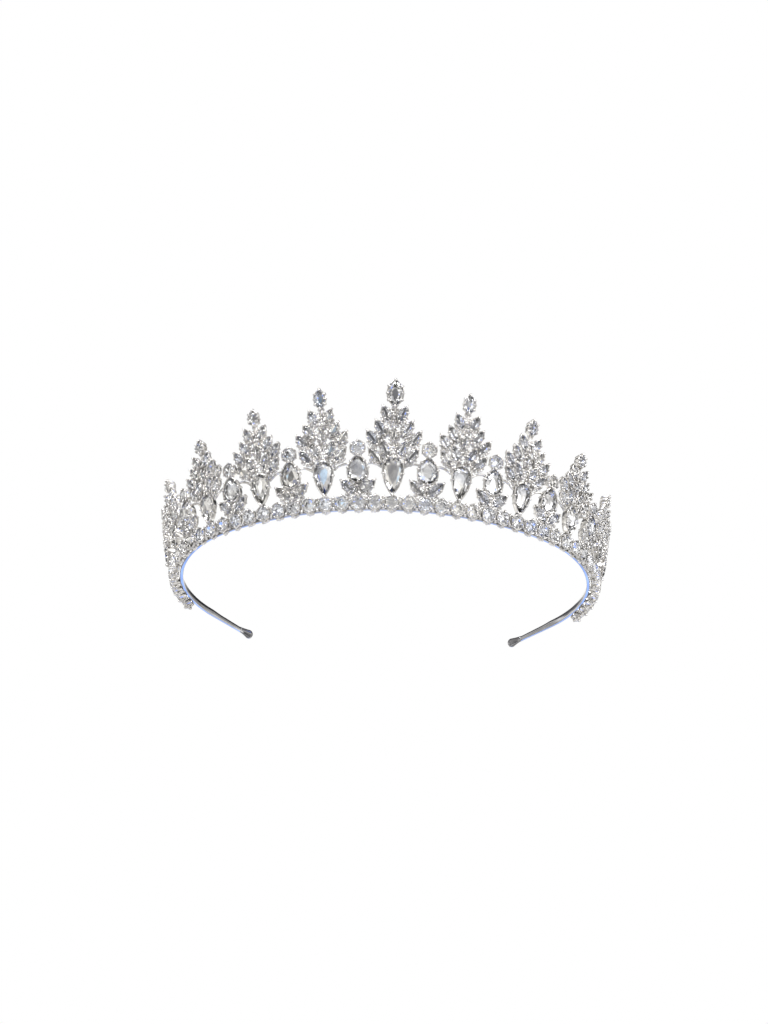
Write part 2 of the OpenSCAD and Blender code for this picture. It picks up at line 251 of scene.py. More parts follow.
def pear_outline(l, w, n):
    """Point on top, half circle below. n is a multiple of 4."""
    head, middle = w / 2, w / 2 - l / 2
    h = l - head
    r = (h * h + head * head) / w
    turn = math.asin(h / r)
    quarter = n // 4
    side = [
        (r * math.cos(turn * i / quarter) - r + head, middle + r * math.sin(turn * i / quarter))
        for i in range(quarter)
    ]
    left = [(-x, y) for x, y in reversed(side)]
    bottom = [
        (head * math.cos(a), middle + head * math.sin(a))
        for a in (math.pi * (1 + i / (2 * quarter)) for i in range(1, 2 * quarter))
    ]
    return side + [(0, l / 2)] + left + bottom


def round_outline(d, n):
    return [
        (d / 2 * math.cos(2 * math.pi * i / n), d / 2 * math.sin(2 * math.pi * i / n))
        for i in range(n)
    ]


def outline(kind, l, w, n):
    if kind == "pear":
        return pear_outline(l, w, n)
    if kind == "round":
        return round_outline(w, n)
    return navette_outline(l, w, n)


def grown(points, out):
    """The outline moved outwards. MITER limits how far its corners run out."""
    n = len(points)
    result = []
    for i, p in enumerate(points):
        a, b = Vector(points[i - 1]), Vector(points[(i + 1) % n])
        p = Vector(p)
        before, after = (p - a).normalized(), (b - p).normalized()
        normal = Vector((before.y + after.y, -before.x - after.x)).normalized()
        sharp = max(MITER, normal.dot(Vector((before.y, -before.x))))
        result.append(p + normal * out / sharp)
    return result


# ---- Crystals ----

# Points round a crystal, heights of its crown, pavilion and girdle as parts of its width, and its
# table as a part of its outline
CUT_POINTS = 16
STONE_CROWN, STONE_PAVILION, STONE_GIRDLE, STONE_TABLE = 0.2, 0.38, 0.05, 0.58
# Points of the stars on the crown and of the half facets behind: how much of the outline's size
# they keep, and of the crown's height or the pavilion's depth
STAR_POINTS, HALF_POINTS = (0.8, 0.62), (0.6, 0.45)
# Layer 2 is a dark copy of the mirror foil on the keels of leaves and navettes: a painted dark
# reflection
# Layer 3 is a grey copy of the mirror foil on the pears: painted shade
GLASS, FOIL, DARK_REFLECTION_KEEL, SHADED_GREY_FOIL = 0, 1, 2, 3
# Back of each cut: layer of its pavilion, width and length of its flat keel as parts of the
# stone's, layer of that keel, and how much of the full depth it has
BACKS = {
    # Leaves and navettes take the dark keel foil there, a painted dark reflection
    "leaf": (FOIL, 0.3, 0.55, DARK_REFLECTION_KEEL, 1), "navette": (FOIL, 0.34, 0.42, DARK_REFLECTION_KEEL, 1),
    # Pears take the grey foil over their whole back, a painted shade
    "pear": (SHADED_GREY_FOIL, 0.58, 0.7, SHADED_GREY_FOIL, 0.7), "round": (FOIL, 0.22, 0.22, FOIL, 1),
}


def crystal(shape, kind, l, w, matrix):
    """Brilliant cut: table, stars, kites and girdle facets over a foiled pavilion with a flat keel."""
    n = CUT_POINTS
    rim = [Vector(p) for p in outline(kind, l, w, n)]
    middle = Vector((0, (w - l) / 4)) if kind == "pear" else Vector((0, 0))
    pavilion_slot, across, along, keel_slot, deep = BACKS[kind]
    crown, pavilion = STONE_CROWN * w, STONE_PAVILION * w * deep
    girdle = STONE_GIRDLE * w

    def ring(scale, height, step, start):
        return [
            (*(middle + (rim[i % n] - middle) * scale), height) for i in range(start, start + n, step)
        ]

    h = n // 2
    table = ring(STONE_TABLE, crown, 2, 0)
    stars = ring(STAR_POINTS[0], crown * STAR_POINTS[1], 2, 1)
    upper = ring(1, 0, 1, 0)
    lower = ring(1, -girdle, 1, 0)
    halves = ring(HALF_POINTS[0], -girdle - (pavilion - girdle) * HALF_POINTS[1], 2, 1)
    keel = [
        (middle.x + (p.x - middle.x) * across, middle.y + (p.y - middle.y) * along, -pavilion)
        for p in rim[::2]
    ]
    t0, s0, u0 = 0, h, 2 * h
    g0, h0, k0 = u0 + n, u0 + 2 * n, u0 + 2 * n + h
    crown_faces = [tuple(range(h))]
    back = []
    for i in range(h):
        j, before = (i + 1) % h, (i - 1) % h
        this, odd, next_ = 2 * i, 2 * i + 1, (2 * i + 2) % n
        crown_faces += [
            (t0 + j, t0 + i, s0 + i), (t0 + i, s0 + before, u0 + this), (t0 + i, u0 + this, s0 + i),
            (s0 + i, u0 + this, u0 + odd), (s0 + i, u0 + odd, u0 + next_),
        ]
        back += [
            (u0 + this, g0 + this, g0 + odd, u0 + odd), (u0 + odd, g0 + odd, g0 + next_, u0 + next_),
            (h0 + i, g0 + odd, g0 + this), (h0 + i, g0 + next_, g0 + odd),
            (g0 + this, h0 + before, k0 + i), (g0 + this, k0 + i, h0 + i), (h0 + i, k0 + i, k0 + j),
        ]
    start = shape.place(table + stars + upper + lower + halves + keel, matrix)
    shape.cover(start, crown_faces, GLASS)
    shape.cover(start, back, pavilion_slot)
    # The flat keel gets its own layer, for leaves and navettes the dark foil that paints a dark
    # reflection
    shape.cover(start, [tuple(reversed(range(k0, k0 + h)))], keel_slot)


# ---- Settings ----

# Domed end of a wire: how far it stands out and how thick it is, as parts of the wire's radius
DOME_OUT, DOME_THICK = 0.5, 0.6
# Height of a drop of solder as a part of its width, and the points round it
DROP_HEIGHT, DROP_POINTS = 0.7, 8


def tube(shape, path, radii, matrix, sides=8):
    """Round wire along points, with a radius for each point and domed ends."""
    path = [Vector(p) for p in path]
    for end, other in ((0, 1), (-1, -2)):
        run = (path[end] - path[other]).normalized()
        tip = path[end] + run * radii[end] * DOME_OUT
        at = 0 if end == 0 else len(path)
        path.insert(at, tip)
        thin = [radii[end] * DOME_THICK]
        radii = thin + radii if end == 0 else radii + thin
    rings = []
    side = None
    for i, p in enumerate(path):
        run = (path[min(i + 1, len(path) - 1)] - path[max(i - 1, 0)]).normalized()
        if side is None:
            side = run.orthogonal().normalized()
        side = (side - run * side.dot(run)).normalized()
        other = run.cross(side)
        rings.append([
            p + radii[i] * (side * math.cos(a) + other * math.sin(a))
            for a in (2 * math.pi * k / sides for k in range(sides))
        ])
    shape.grid(rings, matrix, capped=True)


def blob(shape, centre, radius, matrix):
    """A drop of solder, of three rings."""
    rings = []
    for i in range(1, 4):
        a = math.pi * i / 4 - math.pi / 2
        rings.append([
            Vector(centre) + Vector((
                radius * math.cos(a) * math.cos(b), radius * math.cos(a) * math.sin(b),
                radius * math.sin(a) * DROP_HEIGHT,
            ))
            for b in (2 * math.pi * k / DROP_POINTS for k in range(DROP_POINTS))
        ])
    shape.grid(rings, matrix, capped=True)


def claw(shape, foot, inward, depth, thick, matrix):
    """A prong up the cup's outside that tapers and bends over the crystal's edge."""
    foot, inward = Vector((*foot, 0)), Vector((*inward, 0))
    # Way inwards, height above the crystal's edge, and part of the thickness
    bend = [
        (0.5, -depth * 0.85, 0.75), (0.15, -depth * 0.4, 0.95), (0, -0.3, 1), (0, 0.12, 1),
        (0.1, 0.36, 0.98), (0.34, 0.5, 0.9), (0.6, 0.5, 0.72), (0.74, 0.44, 0.4),
    ]
    path = [foot + inward * i + Vector((0, 0, z)) for i, z, _ in bend]
    tube(shape, path, [thick * t for _, _, t in bend], matrix, sides=7)


# Claws round a round crystal and round the round end of a pear, in degrees
ROUND_CLAWS, PEAR_END_CLAWS = (30, 90, 150, 210, 270, 330), (-150, -90, -30)
# Claws along the sides of a navette and a leaf, as parts of its length from its middle. Towards
# the ends the sides draw in by SIDE_CURVE, and the claws turn to the middle by SIDE_TURN
SIDE_CLAWS = {"navette": (-0.26, 0, 0.26), "leaf": (-0.2, 0.2)}
SIDE_CURVE, SIDE_TURN = 1.45, 1.2
# Claws along the sides of a pear: part of its width sideways, part of its length above the centre
# of its round end, and direction towards the crystal
PEAR_CLAWS = [(0.485, 0.16, 1, 0), (0.33, 0.4, 0.9, 0.44)]


def claw_places(kind, l, w):
    """Where the claws stand on a crystal's edge: place, and direction towards the crystal."""
    spots = []

    def on_arc(middle, degrees):
        x, y = math.cos(math.radians(degrees)), math.sin(math.radians(degrees))
        spots.append((w / 2 * x, middle + w / 2 * y, -x, -y))

    if kind == "round":
        for degrees in ROUND_CLAWS:
            on_arc(0, degrees)
    elif kind == "pear":
        head = (w - l) / 2
        spots.append((0, l / 2, 0, -1))
        for degrees in PEAR_END_CLAWS:
            on_arc(head, degrees)
        for x in (1, -1):
            for out, above, to_x, to_y in PEAR_CLAWS:
                spots.append((x * w * out, head + above * l, -x * to_x, -to_y))
    else:
        spots += [(0, l / 2, 0, -1), (0, -l / 2, 0, 1)]
        for x in (1, -1):
            for y in SIDE_CLAWS[kind]:
                spots.append((x * w * (0.5 - SIDE_CURVE * y * y), y * l, -x, -y * SIDE_TURN))
    return spots


# Points round a cup, and how much thicker the claws at points and corners are
CUP_POINTS = 24
END_CLAW = 1.5
# A claw's foot is let into the lip by this part of its thickness
CLAW_LET_IN = 0.25


def setting(shape, kind, l, w, matrix, depth, lip, thick):
    """An open-backed cup with a lip round its crystal, and its claws."""
    rim = outline(kind, l, w, CUP_POINTS)
    # Way outwards and height above the crystal's edge: up the outside, over the lip, down inside
    section = [
        (-0.5, -depth), (lip * 0.2, -depth * 0.55), (lip * 0.75, -0.55), (lip, -0.15), (lip, 0.04),
        (lip * 0.55, 0.13), (0.03, 0.07), (0.02, -0.12), (-0.08, -0.7), (-0.6, -depth),
    ]
    loops = [[(p.x, p.y, height) for p in grown(rim, out)] for out, height in section]
    loops.append(loops[0])
    shape.grid(loops, matrix)
    for x, y, to_x, to_y in claw_places(kind, l, w):
        inward = Vector((to_x, to_y)).normalized()
        foot = Vector((x, y)) - inward * (lip - thick * CLAW_LET_IN)
        tip = x == 0 and kind != "round" and not (kind == "pear" and y < 0)
        corner = kind == "navette" and x and y
        claw(shape, foot, inward, depth, thick * (END_CLAW if tip or corner else 1), matrix)


# Grains of silver round the root of a leaf: part of its width sideways, and mm above its lower
# end; then their level, how far they are out of place, and their radius
LEAF_GRAINS = [(0.32, -0.3), (0.58, 0.5), (0.7, 1.5), (0.72, 2.4)]
LEAF_GRAIN_LEVEL, GRAIN_OFF, GRAIN_OFF_LEVEL = -0.45, 0.1, 0.15
LEAF_GRAIN_SIZE = (0.46, 0.64)


def leaf_grains(shape, l, w, matrix):
    """Grains of silver, each a little out of place and of its own size."""
    for side in (1, -1):
        for out, above in LEAF_GRAINS:
            place = Vector((side * w * out, above - l / 2, LEAF_GRAIN_LEVEL))
            ways = (GRAIN_OFF, GRAIN_OFF, GRAIN_OFF_LEVEL)
            place += Vector([rng.uniform(-way, way) for way in ways])
            blob(shape, place, rng.uniform(*LEAF_GRAIN_SIZE), matrix)


# Cast stem: part of its length, and its thickness there in STEM_RADIUS
STEM_SHAPE = [(0, 1.8), (0.2, 1.5), (0.5, 1.3), (0.8, 1.5), (1, 1.8)]
STEM_BOW = 0.5
# Grains of silver beside a stem: distance from one to the next, out from the stem and above its
# ends, and radius
STEM_GRAIN_STEP, STEM_GRAIN_OUT, STEM_GRAIN_RISE = 1.15, 0.66, 0.4
STEM_GRAIN_SIZE = (0.44, 0.6)


def branch(shape, a, b, matrix):
    """A cast stem that thickens towards its ends, with grains of silver on either side."""
    run = b - a
    across = run.cross(Vector((0, 0, 1))).normalized()
    path = [a + run * t + Vector((0, 0, STEM_BOW * math.sin(math.pi * t))) for t, _ in STEM_SHAPE]
    tube(shape, path, [STEM_RADIUS * thick for _, thick in STEM_SHAPE], matrix)
    count = max(1, round(run.length / STEM_GRAIN_STEP))
    for k in range(count):
        middle = a + run * ((k + 0.5) / count)
        for side in (1, -1):
            size = rng.uniform(*STEM_GRAIN_SIZE)
            place = middle + across * side * STEM_GRAIN_OUT + Vector((0, 0, STEM_GRAIN_RISE))
            blob(shape, place, size, matrix)


def spot(u, v, wide, tall):
    """A place of the centre peak, in a peak that is scaled above its foot."""
    return u * wide, MOTIF_FOOT + (v - MOTIF_FOOT) * tall


def motif(middle, side, wide, tall, head=1, raised=0):
    """Crystals of a motif. A smaller top navette keeps its upper end, and the leaves are raised."""
    size = (wide + tall) / 2
    items = []
    for mirrored in (1, -1):
        for kind, u, v, tilt, l, w in (middle + side if mirrored == 1 else side):
            long = l * (tall if u == 0 else size)
            x, y = spot(mirrored * u, v, wide, tall)
            if kind == "navette":
                items.append((kind, x, y + long * (1 - head) / 2, 0, long * head, w * size * head))
            else:
                y += raised if kind == "leaf" else 0
                items.append((kind, x, y, mirrored * tilt, long, w * size))
    return items


def stone_matrix(base, u, v, tilt, wobble):
    """Where one crystal sits, with the small error of a setting made by hand."""
    off = Matrix.Rotation(math.radians(rng.uniform(-wobble, wobble)), 4, "X")
    off = off @ Matrix.Rotation(math.radians(rng.uniform(-wobble, wobble)), 4, "Y")
    turn = Matrix.Rotation(math.radians(-tilt), 4, "Z")
    return base @ Matrix.Translation((u, v, 0)) @ turn @ off


# Width of each kind of setting's lip, and radius of its claws
LIPS = {"leaf": (0.36, 0.28), "navette": (0.36, 0.3), "pear": (0.5, 0.34), "round": (0.4, 0.32)}
BASE_LIP, BASE_CLAW = 0.42, 0.34
# How far a crystal may sit askew, in degrees: wide ones, narrow ones, and those of the base row
WIDE_STONE = 4
WIDE_WOBBLE, NARROW_WOBBLE, BASE_WOBBLE = 1.5, 4, 2.5


def cup_depth(kind):
    return LEAF_DEPTH if kind == "leaf" else DEEP_CUP


def build_motif(name, base, items, stems, wide, tall):
    """Crystals and frame of one peak or connector. Each of stems is two ends and the rise of each."""
    stones, metal = Shape(), Shape()
    for kind, u, v, tilt, l, w in items:
        place = stone_matrix(base, u, v, tilt, WIDE_WOBBLE if w > WIDE_STONE else NARROW_WOBBLE)
        crystal(stones, kind, l, w, place)
        lip, thick = LIPS[kind]
        setting(metal, kind, l, w, place, cup_depth(kind), lip, thick)
        if kind == "leaf":
            leaf_grains(metal, l, w, place)
    for (u0, v0, u1, v1), rise0, rise1 in stems:
        for side in ((1, -1) if u0 or u1 else (1,)):
            a = Vector((*spot(side * u0, v0, wide, tall), -STEM_LEVEL)) + Vector((0, rise0, 0))
            b = Vector((*spot(side * u1, v1, wide, tall), -STEM_LEVEL)) + Vector((0, rise1, 0))
            branch(metal, a, b, base)
    stones.make(name + "_crystals", CRYSTAL_LAYERS, [name + "_stones"], "crystal")
    metal.make(name + "_claw_frame", [settings_silver], [name + "_frame"], "settings_silver")


# ---- Link wires, base row, headband and tips ----

# Ends of a link wire: sideways and up from the foot of its connector and of its peak, and level
LINK_FROM, LINK_TO, LINK_LEVEL = (2.75, 9.9), (3.85, 9), -0.9
LINK_BOW, LINK_STEPS = 0.8, 8
# Uneven thickness of a link wire, and the drop of solder at its end, in LINK_RADIUS
LINK_UNEVEN, LINK_DROP = (1.05, 1.35), 1.5


def link_wires(name, side, i):
    """Bowed wires from the shoulders of connector i to the peaks on either side of it."""
    size = CONNECTOR_SIZE[i]
    here = at_crown(side * CONNECTOR_AT[i] * PITCH)
    wires = Shape()
    for step in (-1, 1):
        j = i + (0 if step * side < 0 else 1)
        there = at_crown(side * PEAK_AT[j] * PITCH)
        from_x, from_y = step * LINK_FROM[0] * size, LINK_FROM[1] * size
        to_x, to_y = -step * LINK_TO[0] * PEAK_WIDE[j], LINK_TO[1] * PEAK_TALL[j]
        a = here @ Vector((from_x, MOTIF_FOOT + from_y, LINK_LEVEL))
        b = there @ Vector((to_x, MOTIF_FOOT + to_y, LINK_LEVEL))
        path = []
        for k in range(LINK_STEPS + 1):
            t = k / LINK_STEPS
            path.append(a + (b - a) * t + Vector((0, 0, LINK_BOW * 4 * t * (1 - t))))
        radii = [LINK_RADIUS * rng.uniform(*LINK_UNEVEN) for _ in path]
        tube(wires, path, radii, Matrix(), sides=10)
        for end in (a, b):
            blob(wires, end, LINK_RADIUS * LINK_DROP, Matrix())
    wires.make(name + "_wires", [settings_silver], [name + "_link_wires"], "settings_silver")


# Beads at the foot of a base cup: sideways and up from the cup's middle, and radius
LUG_BEADS = ((-0.8, -2.4, 0.7), (0.8, -2.4, 0.7), (0, -2.6, 0.75))
LUG_LEVEL = -1.4
# How far a bead may be out of place, and how much smaller or larger
LUG_OFF_X, LUG_OFF_Y, LUG_UNEVEN = (-0.12, 0.12), (-0.15, 0.12), (0.85, 1.1)


def lug(shape, matrix):
    """Foot of a base cup: beads of uneven size that hang in front of the strip's lower edge."""
    for x, y, size in LUG_BEADS:
        place = (x + rng.uniform(*LUG_OFF_X), y + rng.uniform(*LUG_OFF_Y), LUG_LEVEL)
        blob(shape, place, size * rng.uniform(*LUG_UNEVEN), matrix)


# Solder between two base cups: up from their middle, level, and radius
ROW_SOLDER = ((0, -0.9, 0.85), (-1.7, -0.35, 0.6), (1.7, -0.35, 0.6))
# Degrees after which a round cut looks the same again
ROUND_REPEAT = 45
BASE_CUP_DEPTH = ROW_DEPTH * 0.9


def base_row(name, first, last):
    """Crystals and cups of the row, counted from the middle of the front."""
    stones, metal = Shape(), Shape()
    for i in range(first, last + 1):
        upright = at_row(i * PITCH)
        place = stone_matrix(upright, 0, 0, rng.uniform(0, ROUND_REPEAT), BASE_WOBBLE)
        crystal(stones, "round", BASE_STONE, BASE_STONE, place)
        setting(
            metal, "round", BASE_STONE, BASE_STONE, upright, BASE_CUP_DEPTH, BASE_LIP, BASE_CLAW
        )
        if i > first:
            half = at_row((i - 0.5) * PITCH)
            for y, z, radius in ROW_SOLDER:
                blob(metal, (0, y, z), radius, half)
        lug(metal, upright)
    stones.make(f"base_row_{name}_crystals", CRYSTAL_LAYERS, [f"base_row_stones_{name}"], "crystal")
    metal.make(
        f"base_row_{name}_cups", [settings_silver], [f"base_row_settings_{name}"], "settings_silver"
    )


# Rounded edges of the strip's section: half its thickness there, and mm above its lower edge or
# below its upper one. Between them its sides draw in towards the top by SIDE_DOME
LOWER_EDGE, UPPER_EDGE = ((0.36, 0), (0.46, 0.03), (0.54, 0.14)), ((0.3, 0.06), (0.22, 0))
SIDE_DOME = 0.36
# What is filed off the top of an arm, and over what length
ARM_FILED, ARM_FILED_OVER = 0.25, 4
STRIP_STEPS = 150


def headband():
    """The strip swept along its line, with domed sides. Its top slopes down along each arm."""
    half_t = STRIP_THICKNESS / 2
    rings = []
    for k in range(-STRIP_STEPS, STRIP_STEPS + 1):
        s = k * STRIP_REACH / STRIP_STEPS
        arm = max(0, abs(s) - FRONT_REACH - SIDE_REACH)
        taper = ARM_TAPER * arm / ARM_REACH + ARM_FILED * min(1, arm / ARM_FILED_OVER)
        half_h = (STRIP_HEIGHT - taper) / 2
        m = at_strip(s, 0, half_h, 0)
        half = [(x, -half_h + up) for x, up in LOWER_EDGE]
        for q in range(-4, 5):
            half.append((half_t * (1 - SIDE_DOME * max(0, (q + 1) / 5) ** 2), half_h * q / 5))
        half += [(x, half_h - down) for x, down in UPPER_EDGE]
        ring = [m @ Vector((0, y, x)) for x, y in half]
        ring += [m @ Vector((0, y, -x)) for x, y in reversed(half)]
        rings.append(ring)
    band = Shape()
    band.grid(rings, Matrix(), capped=True)
    band.make("headband_strip", [band_silver], ["headband"], "band_silver")


# Half height and depth of a bulb's mouth as parts of the strip's own
NECK_HIGH, NECK_DEEP = 0.515, 0.52
# Where a bulb is widest as a part of its length, power of its swelling up to there, its depth as a
# part of its height, and the square of what is left of its width at its very end
TIP_WIDEST, TIP_SWELL, TIP_DEPTH, TIP_FLAT = 0.74, 1.3, 0.9, 0.01
TIP_STEPS, TIP_POINTS = 20, 24


def end_tip(name, side):
    """A bulb over the strip's end that swells from the strip's own section."""
    arm_end = STRIP_HEIGHT - ARM_TAPER
    m = at_strip(side * STRIP_REACH, 0, arm_end / 2, 0)
    neck_high, neck_deep = arm_end * NECK_HIGH, STRIP_THICKNESS * NECK_DEEP
    tip_deep = TIP_RADIUS * TIP_DEPTH
    rings = []
    for k in range(TIP_STEPS + 1):
        t = k / TIP_STEPS
        x = TIP_LENGTH * t - TIP_MOUTH
        if t < TIP_WIDEST:
            swell = (t / TIP_WIDEST) ** TIP_SWELL
            high = neck_high + (TIP_RADIUS - neck_high) * swell
            deep = neck_deep + (tip_deep - neck_deep) * swell
        else:
            dome = math.sqrt(max(TIP_FLAT, 1 - ((t - TIP_WIDEST) / (1 - TIP_WIDEST)) ** 2))
            high, deep = TIP_RADIUS * dome, tip_deep * dome
        rings.append([
            (side * x, high * math.sin(a), deep * math.cos(a))
            for a in (2 * math.pi * q / TIP_POINTS for q in range(TIP_POINTS))
        ])
    tip = Shape()
    tip.grid(rings, m, capped=True)
    tip.make(name + "_bulb", [tip_silver], [name], "tip_silver")


# ---- Materials ----

def new_material(name):
    material = bpy.data.materials.new(name)
    material.use_nodes = True
    nodes, links = material.node_tree.nodes, material.node_tree.links
    return material, nodes, links, nodes["Principled BSDF"]


def noise(nodes, links, scale, detail):
    """Noise over the piece's own coordinates, which are metres in the tiara's frame."""
    place = nodes.new("ShaderNodeTexCoord")
    texture = nodes.new("ShaderNodeTexNoise")
    texture.inputs["Scale"].default_value = scale
    texture.inputs["Detail"].default_value = detail
    links.new(place.outputs["Object"], texture.inputs["Vector"])
    return texture


def ramp(nodes, links, source, stops):
    node = nodes.new("ShaderNodeValToRGB")
    elements = node.color_ramp.elements
    while len(elements) < len(stops):
        elements.new(0.5)
    for element, (place, colour) in zip(elements, stops):
        element.position = place
        element.color = (*colour, 1)
    links.new(source, node.inputs["Fac"])
    return node


def spread(nodes, links, source, low, high):
    node = nodes.new("ShaderNodeMapRange")
    node.inputs["To Min"].default_value = low
    node.inputs["To Max"].default_value = high
    links.new(source, node.inputs["Value"])
    return node


def bump(nodes, links, source, shader, distance, strength):
    node = nodes.new("ShaderNodeBump")
    node.inputs["Distance"].default_value = distance
    node.inputs["Strength"].default_value = strength
    links.new(source, node.inputs["Height"])
    links.new(node.outputs["Normal"], shader.inputs["Normal"])


# Casting pits of the silver and unevenness of the crystal's polish: depth in metres, and strength
PITS, POLISH = (0.00004, 0.35), (0.00003, 0.3)


def silver(name, dark, light, polished, dull, grain, pit):
    """Silver plate with cloudy tarnish, uneven polish and fine casting pits."""
    material, nodes, links, shader = new_material(name)
    shader.inputs["Metallic"].default_value = 1
    cloud = noise(nodes, links, grain, 3)
    colour = ramp(nodes, links, cloud.outputs["Fac"], [(0.35, dark), (0.62, light)])
    links.new(colour.outputs["Color"], shader.inputs["Base Color"])
    polish = spread(nodes, links, cloud.outputs["Fac"], dull, polished)
    links.new(polish.outputs["Result"], shader.inputs["Roughness"])
    pits = noise(nodes, links, pit, 2)
    bump(nodes, links, pits.outputs["Fac"], shader, *PITS)
    return material


def make_crown_glass():
    """Clear lead crystal, with the faintest difference of tint from stone to stone."""
    material, nodes, links, shader = new_material("crown_glass")
    shader.inputs["Transmission Weight"].default_value = 1
    shader.inputs["Roughness"].default_value = 0
    shader.inputs["IOR"].default_value = 1.58
    tint = noise(nodes, links, 140, 0)
    colour = ramp(
        nodes, links, tint.outputs["Fac"], [(0.4, (0.93, 0.95, 1)), (0.6, (1, 0.99, 0.97))]
    )
    links.new(colour.outputs["Color"], shader.inputs["Base Color"])
    polish = noise(nodes, links, 1700, 2)
    bump(nodes, links, polish.outputs["Fac"], shader, *POLISH)
    return material


def make_foil(name, dark, light, grain=90):
    """Mirror foil behind a crystal, cloudy from dark to light."""
    material, nodes, links, shader = new_material(name)
    shader.inputs["Metallic"].default_value = 1
    shader.inputs["Roughness"].default_value = 0.04
    cloud = noise(nodes, links, grain, 2)
    colour = ramp(nodes, links, cloud.outputs["Fac"], [(0.35, dark), (0.65, light)])
    links.new(colour.outputs["Color"], shader.inputs["Base Color"])
    return material


CRYSTAL_LAYERS = [
    make_crown_glass(),
    make_foil("pavilion_foil", (0.86, 0.87, 0.9), (0.98, 0.97, 0.95)),
    # Dark copy of the mirror foil for the keels: painted dark reflection
    make_foil("painted_dark_reflection_foil", (0.17, 0.17, 0.18), (0.5, 0.5, 0.5)),
    # Grey copy of the mirror foil for the pears: painted shade
    make_foil("painted_shade_grey_foil", (0.6, 0.6, 0.61), (0.9, 0.89, 0.87), grain=420),
]
settings_silver = silver(
    "settings_silver", (0.465, 0.453, 0.434), (0.775, 0.758, 0.735),
    polished=0.08, dull=0.28, grain=420, pit=1500,
)
# A darker copy of the silver for the strip: painted shade, with cloudy tarnish over it
band_silver = silver(
    "band_silver", (0.34, 0.34, 0.35), (0.5, 0.5, 0.51), polished=0.06, dull=0.16, grain=120, pit=900
)
# A near-black copy of the silver for the end bulbs: painted shade, with cloudy tarnish over it
tip_silver = silver(
    "tip_silver", (0.13, 0.13, 0.14), (0.24, 0.24, 0.25), polished=0.04, dull=0.1, grain=200, pit=300
)


# ---- Light, backdrop and camera ----

# Dark and bright patches of the studio: size, detail, and colour at each level of the noise
PATCH_SCALE, PATCH_DETAIL = 3.2, 1.5
PATCHES = [
    (0.32, (0.24, 0.24, 0.24)), (0.42, (0.6, 0.59, 0.575)), (0.52, (1.0, 0.985, 0.95)),
    (0.62, (1.45, 1.44, 1.42)), (0.72, (2.6, 2.6, 2.6)),
]
# Direction, inner and outer angle in degrees, and colour of each light or dark panel
BLUE = (0.45, 0.75, 2.2)
PANELS = [
    ((-0.1, 0.915, -0.39), 7, 10, (0.82, 1.24, 2.5)),
    ((0.12, 0.915, -0.39), 7, 10, (0.82, 1.24, 2.5)),
    ((0, -0.94, -0.34), 8, 20, (0.42, 0.42, 0.43)),
    ((-0.41, -0.89, -0.2), 5, 7, (0.74, 0.92, 1.1)),
    ((0.5, -0.7, 0.5), 8, 20, (1.8, 1.8, 1.8)),
    ((0.75, -0.1, 0.65), 7, 9, BLUE),
    ((-0.7, -0.4, 0.6), 7, 9, BLUE),
    ((0.3, -0.5, -0.8), 7, 9, BLUE),
    ((-0.5, -0.3, -0.8), 6, 8, BLUE),
    ((0.62, -0.78, 0.1), 4, 6, BLUE),
    ((-0.45, 0.55, 0.7), 16, 26, (0.14, 0.14, 0.15)),
    ((0.45, 0.55, 0.7), 16, 26, (0.04, 0.04, 0.045)),
]


def world_light():
    """A white backdrop, and a studio with bright panels and dark gaps for the facets to mirror."""
    world = bpy.data.worlds.new("studio")
    bpy.context.scene.world = world
    world.use_nodes = True
    nodes, links = world.node_tree.nodes, world.node_tree.links
    nodes.clear()
    out = nodes.new("ShaderNodeOutputWorld")
    way = nodes.new("ShaderNodeTexCoord")
    patches = nodes.new("ShaderNodeTexNoise")
    patches.inputs["Scale"].default_value = PATCH_SCALE
    patches.inputs["Detail"].default_value = PATCH_DETAIL
    links.new(way.outputs["Generated"], patches.inputs["Vector"])
    total = ramp(nodes, links, patches.outputs["Fac"], PATCHES).outputs["Color"]
    for direction, near, far, colour in PANELS:
        axis = Vector(direction).normalized()
        dot = nodes.new("ShaderNodeVectorMath")
        dot.operation = "DOT_PRODUCT"
        dot.inputs[1].default_value = axis
        links.new(way.outputs["Generated"], dot.inputs[0])
        edge = nodes.new("ShaderNodeMapRange")
        edge.interpolation_type = "SMOOTHSTEP"
        edge.inputs["From Min"].default_value = math.cos(math.radians(far))
        edge.inputs["From Max"].default_value = math.cos(math.radians(near))
        links.new(dot.outputs["Value"], edge.inputs["Value"])
        mix = nodes.new("ShaderNodeMix")
        mix.data_type = "RGBA"
        mix.inputs["B"].default_value = (*colour, 1)
        links.new(edge.outputs["Result"], mix.inputs["Factor"])
        links.new(total, mix.inputs["A"])
        total = mix.outputs["Result"]
    studio = nodes.new("ShaderNodeBackground")
    links.new(total, studio.inputs["Color"])
    white = nodes.new("ShaderNodeBackground")
    white.inputs["Color"].default_value = (1, 1, 1, 1)
    path = nodes.new("ShaderNodeLightPath")
    shown = nodes.new("ShaderNodeMixShader")
    links.new(path.outputs["Is Camera Ray"], shown.inputs["Fac"])
    links.new(studio.outputs["Background"], shown.inputs[1])
    links.new(white.outputs["Background"], shown.inputs[2])
    links.new(shown.outputs["Shader"], out.inputs["Surface"])


def area_light(name, place, size, power):
    """A round white light that faces the tiara."""
    data = bpy.data.lights.new(name, "AREA")
    data.shape = "DISK"
    data.size = size
    data.energy = power
    light = bpy.data.objects.new(name, data)
    light.location = place
    light.rotation_euler = (-Vector(place)).to_track_quat("-Z", "Y").to_euler()
    bpy.context.collection.objects.link(light)


# Half the width of the floor and its level, in metres
FLOOR_HALF, FLOOR_LEVEL = 0.7, -0.0008


